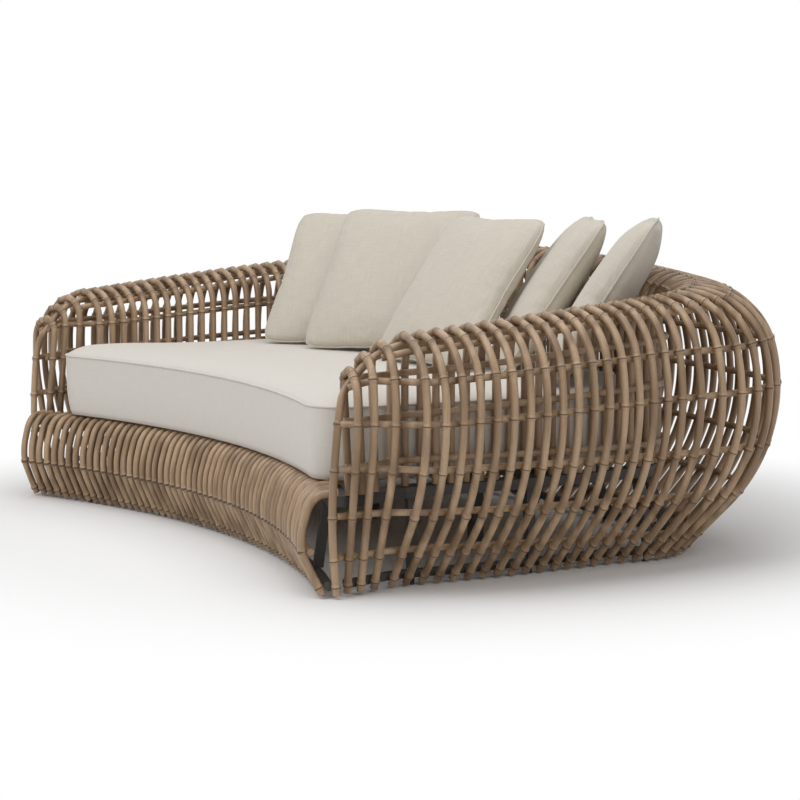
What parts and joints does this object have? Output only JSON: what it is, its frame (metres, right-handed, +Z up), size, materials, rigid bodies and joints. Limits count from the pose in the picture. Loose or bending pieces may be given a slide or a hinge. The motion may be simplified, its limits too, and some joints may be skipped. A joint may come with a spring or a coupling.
{
  "type": "garden sofa",
  "caption": "curved garden sofa with arms and back of bent rattan-look ribs, a ribbed front apron, one deep seat cushion and loose scatter cushions",
  "frame": {"origin": "on the floor below the middle of the sofa's bounding box", "axes": "+X along the long side, to the right in a front view; +Y to the back; +Z up"},
  "size_m": [2.27, 1.485, 0.8485],
  "materials": {
    "rattan": "peeled rattan poles, tan, satin",
    "frame_metal": "dark grey powder coat, matte",
    "slat_wood": "oiled hardwood",
    "glide_plastic": "black, matte",
    "cushion_fabric": "off-white woven outdoor cloth",
    "pillow_fabric": "warm grey-beige woven linen-look cloth"
  },
  "bodies": {
    "root": {"apron_pole": "rattan", "centre_legs": "frame_metal", "deck_slats": "slat_wood", "floor_glides": "glide_plastic", "front_floor_rail": "frame_metal", "front_posts": "frame_metal", "front_rail": "frame_metal", "left_apron_ribs": "rattan", "left_arm_front_ribs": "rattan", "left_arm_rear_ribs": "rattan", "left_arm_tip_ribs": "rattan", "left_corner_ribs": "rattan", "left_crest_and_nose_pole": "rattan", "left_floor_rail": "frame_metal", "left_inner_lower_pole": "rattan", "left_inner_middle_pole": "rattan", "left_inner_shoulder_pole": "rattan", "left_inner_upper_pole": "rattan", "left_middle_back_ribs": "rattan", "left_outer_back_ribs": "rattan", "left_outer_hem_pole": "rattan", "left_outer_lower_pole": "rattan", "left_outer_middle_pole": "rattan", "left_outer_shoulder_pole": "rattan", "left_outer_skirt_pole": "rattan", "left_outer_upper_pole": "rattan", "left_rail_posts": "frame_metal", "left_seat_rail": "frame_metal", "middle_apron_ribs": "rattan", "pillow_centre": "pillow_fabric", "pillow_far_left": "pillow_fabric", "pillow_far_right": "pillow_fabric", "pillow_left": "pillow_fabric", "pillow_right": "pillow_fabric", "right_apron_ribs": "rattan", "right_arm_front_ribs": "rattan", "right_arm_rear_ribs": "rattan", "right_arm_tip_ribs": "rattan", "right_corner_ribs": "rattan", "right_crest_and_nose_pole": "rattan", "right_floor_rail": "frame_metal", "right_inner_lower_pole": "rattan", "right_inner_middle_pole": "rattan", "right_inner_shoulder_pole": "rattan", "right_inner_upper_pole": "rattan", "right_middle_back_ribs": "rattan", "right_outer_back_ribs": "rattan", "right_outer_hem_pole": "rattan", "right_outer_lower_pole": "rattan", "right_outer_middle_pole": "rattan", "right_outer_shoulder_pole": "rattan", "right_outer_skirt_pole": "rattan", "right_outer_upper_pole": "rattan", "right_rail_posts": "frame_metal", "right_seat_rail": "frame_metal", "seat_bearer": "frame_metal", "seat_cushion": "cushion_fabric"}
  },
  "joints": []
}
